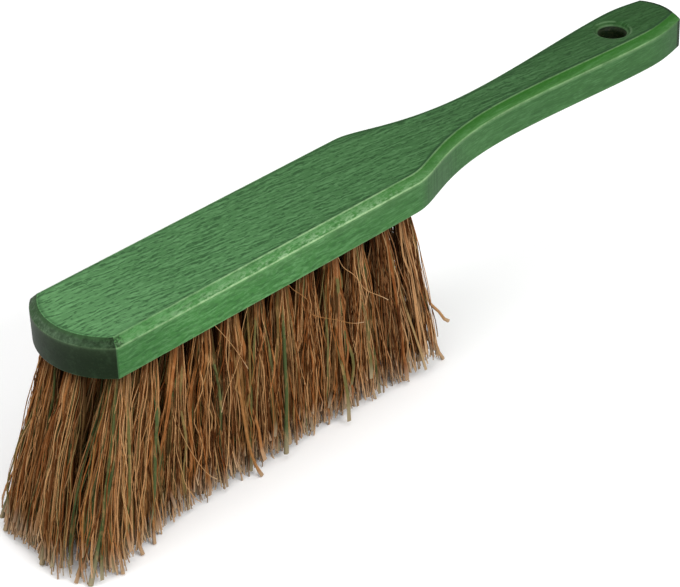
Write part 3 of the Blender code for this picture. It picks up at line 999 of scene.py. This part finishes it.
def beech_material():
    """Green stain on beech: strokes along the grain, dark end grain and worn arrises."""
    material, tree, shader = new_material("green_stained_beech")
    at = stock_faces(tree, tree.nodes.new("ShaderNodeTexCoord"))
    grain = askew_grain(tree, at)
    fields = stock_fields(tree, at, grain)
    pale_stroke_and_highlight, dark_stroke = grain_strokes(tree, at, grain, fields)
    colour = stained_wood(tree, at, fields, pale_stroke_and_highlight, dark_stroke)
    for finish in (handle_edges, sawn_neck, end_grain, worn_and_highlit_edges, hang_hole):
        colour = finish(tree, at, fields, colour)
    tree.links.new(colour, shader.inputs["Base Color"])
    dullness = ranged(tree, fields.patches, 0.3, 0.7, 0.42, 0.55)
    tree.links.new(blended(tree, at.end, dullness, 0.5), shader.inputs["Roughness"])
    shader.inputs["Specular IOR Level"].default_value = 0.1
    height = calc(tree, "SUBTRACT", product(tree, fields.hair, 0.4), dark_stroke)
    tree.links.new(bump(tree, height, 0.35, 0.0001), shader.inputs["Normal"])
    return material


# Colours of the fibres

FIBRE_HUES = [
    (0.00, (0.036, 0.07, 0.024)),
    (0.08, (0.07, 0.092, 0.03)),
    (0.14, (0.13, 0.1, 0.03)),
    (0.22, (0.19, 0.096, 0.028)),
    (0.45, (0.265, 0.104, 0.028)),
    (0.75, (0.25, 0.082, 0.018)),
    (1.00, (0.15, 0.044, 0.01)),
]
FIBRE_DARK = (0.038, 0.009, 0.0008, 1)
FIBRE_PALE = (0.56, 0.33, 0.15, 1)
FIBRE_STREAK = (0.036, 0.011, 0.002, 1)
FIBRE_BLOTCH = (0.4, 0.21, 0.085, 1)
FIBRE_PAINTED_SHADE = (0.014, 0.0034, 0.0003, 1)
FIBRE_TIP_BACKLIGHT = (0.4, 0.31, 0.21, 1)
FIBRE_REAR_PALE = (0.64, 0.42, 0.225, 1)
STREAK_FIELD = ((5200, 5200, 260), 3, 0.6)
BLOTCH_FIELD = ((500, 500, 170), 3, 0.6)
REAR_PALE_X = (-0.05, 0.01)


def fibre_material():
    """Coarse plant fibre: each fibre has its own brown or green, with painted shade where the tuft hides it
    and a painted backlight glow at its tip.
    """
    material, tree, shader = new_material("mixed_plant_fibre")
    place = tree.nodes.new("ShaderNodeTexCoord").outputs["Object"]
    x, _, _ = separated(tree, place)
    tone = attribute(tree, "tone")
    streak = noise(tree, place, *STREAK_FIELD)
    blotch = noise(tree, place, *BLOTCH_FIELD)
    # Pale fibres grow paler toward the rear
    paler_rear = ranged(tree, x, *REAR_PALE_X, 0, 0.34)
    colour = coated(
        tree,
        ramp(tree, attribute(tree, "hue"), FIBRE_HUES),
        (FIBRE_DARK, ranged(tree, tone, 0.5, 0.0, 0, 0.85)),
        (FIBRE_PALE, ranged(tree, tone, 0.5, 1.0, 0, 0.6)),
        (FIBRE_STREAK, ranged(tree, streak, 0.35, 0.7, 0, 0.4)),
        (FIBRE_BLOTCH, ranged(tree, blotch, 0.5, 0.7, 0, 0.4)),
        (FIBRE_REAR_PALE, paler_rear, ranged(tree, tone, 0.3, 0.8)),
        # Painted backlight: the tips pale toward their ends
        (FIBRE_TIP_BACKLIGHT, ranged(tree, attribute(tree, "along"), 0.88, 1.0, 0.0, 0.5)),
        # Painted shade toward the roots, deeper for fibres that the tuft hides
        (FIBRE_PAINTED_SHADE, attribute(tree, "shade")),
    )
    tree.links.new(colour, shader.inputs["Base Color"])
    shader.inputs["Roughness"].default_value = 0.6
    shader.inputs["Specular IOR Level"].default_value = 0.05
    tree.links.new(bump(tree, streak, 0.4, 0.0001), shader.inputs["Normal"])
    return material


def floor_material():
    material, _, shader = new_material("pale_floor")
    shader.inputs["Base Color"].default_value = (0.95, 0.95, 0.95, 1)
    shader.inputs["Roughness"].default_value = 0.9
    shader.inputs["Specular IOR Level"].default_value = 0.1
    return material


# Fibres


def bezier_point(points, share):
    rest = 1 - share
    return (
        points[0] * rest**3
        + points[1] * 3 * rest**2 * share
        + points[2] * 3 * rest * share**2
        + points[3] * share**3
    )


def waved(draw, controls):
    """Points along the curve of the four controls, bent to and fro by two waves."""
    waves = []
    for size, turns in [(size, draw.uniform(*turns)) for size, turns in WAVES]:
        heading = draw.uniform(0, math.tau)
        way = Vector((math.cos(heading), math.sin(heading), 0)) * abs(draw.gauss(0, size))
        waves.append((way, turns, draw.uniform(0, math.tau)))
    path = []
    for step in range(FIBRE_RINGS):
        along = step / (FIBRE_RINGS - 1)
        point = bezier_point(controls, along)
        for way, turns, phase in waves:
            swing = math.sin(phase + along * turns * math.tau)
            point = point + way * swing * smooth(*WAVE_FADE, along)
        point.z = max(point.z, LOWEST_PATH)
        path.append(point)
    return path


def rear_corner(x, y):
    """How near a tip is to the left rear corner, where the bristles are worn short, from 0 to 1."""
    return smooth(*REAR_CORNER_X, x) * (1 - smooth(*REAR_CORNER_Y, y))


def fibre_controls(draw, mouth, axis, across):
    """From inside the hole to the floor: out along the hole, then toward its own tip."""
    start = mouth + across * (HOLE_RADIUS - FIBRE_RADIUS[1]) + axis * ROOT_DEPTH
    wanders = draw.random() < WANDER_SHARE
    scatter = WANDER_SCATTER if wanders else TIP_SCATTER
    aim = mouth + across * TIP_SPREAD * (1 + FRONT_SPREAD * (1 - smooth(*SPREAD_FADE, mouth.x)))
    x = aim.x + draw.uniform(-scatter, scatter)
    y = aim.y + draw.uniform(-scatter, scatter)
    poke = POKE_REACH if draw.random() < POKE_SHARE else 0.0
    edge_y = OUTER_ROW_Y + EDGE_REACH
    y = min(edge_y, max(-edge_y - poke, y))
    foot_x, foot_y = flared(min(LAST_COLUMN_X + REAR_REACH, max(front_edge(y), x)), y)
    trimmed = draw.random() < TRIM_SHARE
    lift = abs(draw.gauss(0, TRIM_SCATTER)) if trimmed else draw.uniform(0, SHORT_REACH)
    lift = 0.0 if draw.random() < FLOOR_SHARE else lift + TIP_LIFT
    worn = rear_corner(foot_x, y) * draw.uniform(*REAR_WEAR)
    lift += REAR_LIFT * worn
    sweep_x, sweep_y = swept(draw, mouth)
    tip_x = foot_x + sweep_x - REAR_DRAW * worn
    tip = Vector((tip_x, foot_y + sweep_y, lift + LOWEST_PATH))
    sway = WANDER_SWAY if wanders else SWAY
    bend = Vector((draw.gauss(0, sway), draw.gauss(0, sway), 0))
    length = (tip - start).length
    leave = start + across * ROOT_FAN - axis * length * LEAVE_SHARE
    leave += Vector((sweep_x * LEAVE_SHARE, 0, 0))
    arrive = start.lerp(tip, ARRIVE_SHARE) + bend
    droop = draw.uniform(*DROOP) * (1 - smooth(*DROOP_FADE_Y, mouth.y))
    arrive.x += (tip.x - arrive.x) * droop
    return [start, leave, arrive, tip]


def standout_controls(mouth, axis, *marks):
    """The controls of a fibre that stands out, from its knee and tip in millimetres."""
    start = mouth + axis * ROOT_DEPTH
    knee, tip = (Vector((x / 1000, y / 1000, UNDERSIDE_Z - depth / 1000)) for x, y, depth in marks)
    return [start, knee.lerp(start, KNEE_SHARE), knee, tip]


def exposure(node, across):
    """How far a fibre's place in its tuft faces the outside of the brush, from 0 to 1."""
    number = int(node[-2:])
    facing = [-1.0]
    if "outer" in node:
        facing.append(across.y * (-1 if "left" in node else 1))
    if number <= 2:
        facing.append(-across.x)
    if number >= COLUMNS:
        facing.append(across.x)
    return smooth(*EXPOSED, max(facing))


def add_fibre(builder, draw, path, look):
    """A five-sided tube along the path, uneven and a little thicker toward its tip."""
    verts, faces, layers = builder
    wide = draw.random() < (WIDE_GREEN_SHARE if look["hue"] < GREEN_HUES else WIDE_SHARE)
    tone = min(look["tone"], WIDE_TONE_LIMIT) if wide else look["tone"]
    base = draw.uniform(*(WIDE_FIBRE_RADIUS if wide else FIBRE_RADIUS))
    flatness = draw.uniform(*(WIDE_FLATNESS if wide else FLATNESS))
    base = look.get("radius", base)
    twist = draw.uniform(-MAX_TWIST, MAX_TWIST)
    spin = draw.uniform(0, math.tau)
    rings = []
    for step, point in enumerate(path):
        along = step / (len(path) - 1)
        ahead = path[min(step + 1, len(path) - 1)] - path[max(step - 1, 0)]
        ahead.normalize()
        side = ahead.cross(Vector((0, 1, 0))).normalized()
        other = ahead.cross(side)
        radius = base * (1 + TIP_SWELL * smooth(SWELL_START, 1, along)) * draw.uniform(*UNEVENNESS)
        rings.append(range(len(verts), len(verts) + FIBRE_SIDES))
        for corner in range(FIBRE_SIDES):
            angle = spin + twist * along + math.tau * corner / FIBRE_SIDES
            offset = side * math.cos(angle) + other * math.sin(angle) * flatness
            place = point + offset * radius
            verts.append((place.x + BOARD_SHIFT, place.y, max(place.z, LOWEST_VERT)))
        # Painted shade: darker toward the root, and further down for fibres that the tuft hides
        shade = ROOT_SHADE * (1 - smooth(SHADE_START, look["shaded"], along))
        for label, value in zip(layers, (tone, look["hue"], along, shade)):
            layers[label] += [value] * FIBRE_SIDES
    skin(rings, faces.append)


def lay_out_strips(mesh):
    """A bake map with one upright strip for each fibre, and its end caps below and above."""
    layer = mesh.uv_layers.new(name="OFBake")
    tube_faces = (FIBRE_RINGS - 1) * FIBRE_SIDES
    per_fibre = tube_faces + len(CAP_LEVELS)
    fibres = len(mesh.polygons) // per_fibre
    width = (1 - STRIP_GAP) / fibres
    for index, polygon in enumerate(mesh.polygons):
        fibre, face = divmod(index, per_fibre)
        if face < tube_faces:
            step, corner = divmod(face, FIBRE_SIDES)
            corners = [(corner, step), (corner + 1, step), (corner + 1, step + 1), (corner, step + 1)]
            spots = [
                (across / FIBRE_SIDES, STRIP_FOOT + STRIP_HEIGHT * along / (FIBRE_RINGS - 1))
                for across, along in corners
            ]
        else:
            level = CAP_LEVELS[face - tube_faces]
            angles = [math.tau * corner / FIBRE_SIDES for corner in range(FIBRE_SIDES)]
            spots = [
                (0.5 + CAP_SIZE[0] * math.cos(angle), level + CAP_SIZE[1] * (1 + math.sin(angle)))
                for angle in angles
            ]
        for loop, (u, v) in zip(polygon.loop_indices, spots):
            layer.data[loop].uv = (fibre / fibres + width * u, v)


def fibre_look(draw, node, mouth, across):
    """One fibre's colour, with painted light that makes it paler toward the nose and where it faces out, and
    painted shade in the middle of the block and where the tuft hides it.
    """
    lit = exposure(node, across)
    front = 1 - smooth(*PALE_FADE, mouth.x)
    middle = smooth(*MIDDLE_START, mouth.x) * (1 - smooth(*MIDDLE_END, mouth.x))
    # Painted light on fibres that face out and toward the nose, painted shade in the middle of the block
    tone = TONE + LIT_TONE * lit + FRONT_PAINTED_LIGHT * front - MIDDLE_SHADE * middle
    tone = min(1.0, max(0.0, draw.gauss(tone, TONE_SCATTER)))
    least_hue = LEAST_HUE * smooth(*GREEN_FADE, mouth.x)
    look = {
        "tone": tone,
        "hue": least_hue + (1 - least_hue) * draw.random(),
        "shaded": SHADED_REACH + (LIT_REACH - SHADED_REACH) * lit,
    }
    if draw.random() < HAIR_SHARE:
        look["tone"] = draw.uniform(*HAIR_TONES)
        look["hue"] = draw.uniform(*HAIR_HUES)
        look["radius"] = draw.uniform(*HAIR_RADIUS)
    return look


def tuft_mesh(name, node, mouth, draw):
    layers = {"tone": [], "hue": [], "along": [], "shade": []}
    builder = ([], [], layers)
    axis = tuft_axis(mouth)
    for index in range(FIBRES_PER_TUFT):
        angle = index * math.pi * GOLDEN_SHARE + draw.uniform(-ANGLE_SCATTER, ANGLE_SCATTER)
        share = math.sqrt((index + 0.5) / FIBRES_PER_TUFT)
        across = Vector((math.cos(angle), math.sin(angle), 0)) * share
        path = waved(draw, fibre_controls(draw, mouth, axis, across))
        add_fibre(builder, draw, path, fibre_look(draw, node, mouth, across))
    for kind, place, knee, tip in STANDOUTS:
        if node == f"tuft_{place}":
            tone, hue, radius = STANDOUT_LOOKS[kind]
            look = {"tone": tone, "hue": hue, "shaded": LIT_REACH, "radius": radius}
            path = waved(draw, standout_controls(mouth, axis, knee, tip))
            add_fibre(builder, draw, path, look)
    verts, faces, _ = builder
    mesh = bpy.data.meshes.new(name)
    mesh.from_pydata(verts, [], faces)
    for label, values in layers.items():
        layer = mesh.attributes.new(label, "FLOAT", "POINT")
        layer.data.foreach_set("value", values)
    mesh.shade_smooth()
    mesh.set_sharp_from_angle(angle=FIBRE_SHARP)
    lay_out_strips(mesh)
    return mesh


# Pieces


def add_piece(name, mesh, material, node):
    piece = new_object(name, mesh)
    mesh.materials.append(material)
    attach(piece, "root")
    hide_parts(node)
    return piece


def make_stock(material):
    stock = add_piece("stock_board", board_mesh(), material, "stock")
    cut(stock, hole_cutters())
    cut(stock, hang_cutter())
    stock.data.shade_smooth()
    stock.data.set_sharp_from_angle(angle=STOCK_SHARP)


def make_tufts(material):
    for number, (node, mouth) in enumerate(tuft_places()):
        draw = random.Random(SEED * 1000 + number)
        name = node.replace("tuft", "fibres")
        add_piece(name, tuft_mesh(name, node, mouth, draw), material, node)


# Stage


def add_camera():
    data = bpy.data.cameras.new("camera")
    data.lens = CAMERA_LENS
    data.sensor_width = CAMERA_SENSOR
    camera = new_object("camera", data)
    aim = (CAMERA_AIM - CAMERA_PLACE).to_track_quat("-Z", "Y").to_matrix().to_4x4()
    camera.matrix_world = Matrix.Translation(CAMERA_PLACE) @ aim @ Matrix.Rotation(CAMERA_ROLL, 4, "Z")
    bpy.context.scene.camera = camera


def add_softbox(name, place, aim, size, power):
    data = bpy.data.lights.new(name, "AREA")
    data.shape = "RECTANGLE"
    data.size, data.size_y = size
    data.energy = power
    light = new_object(name, data)
    light.location = place
    light.rotation_euler = (Vector(aim) - Vector(place)).to_track_quat("-Z", "Y").to_euler()


def make_stage():
    bm = bmesh.new()
    bmesh.ops.create_grid(bm, x_segments=1, y_segments=1, size=FLOOR_SIZE)
    floor = new_object("floor", new_mesh("floor", bm))
    floor.data.materials.append(floor_material())
    for softbox in SOFTBOXES:
        add_softbox(*softbox)
    world = bpy.data.worlds.new("soft_room")
    world.use_nodes = True
    background = world.node_tree.nodes["Background"]
    background.inputs["Color"].default_value = (1, 1, 1, 1)
    background.inputs["Strength"].default_value = ROOM_LIGHT
    bpy.context.scene.world = world
    bpy.context.scene.view_settings.view_transform = "Standard"


make_stock(beech_material())
make_tufts(fibre_material())
make_stage()
add_camera()

bpy.context.view_layer.update()
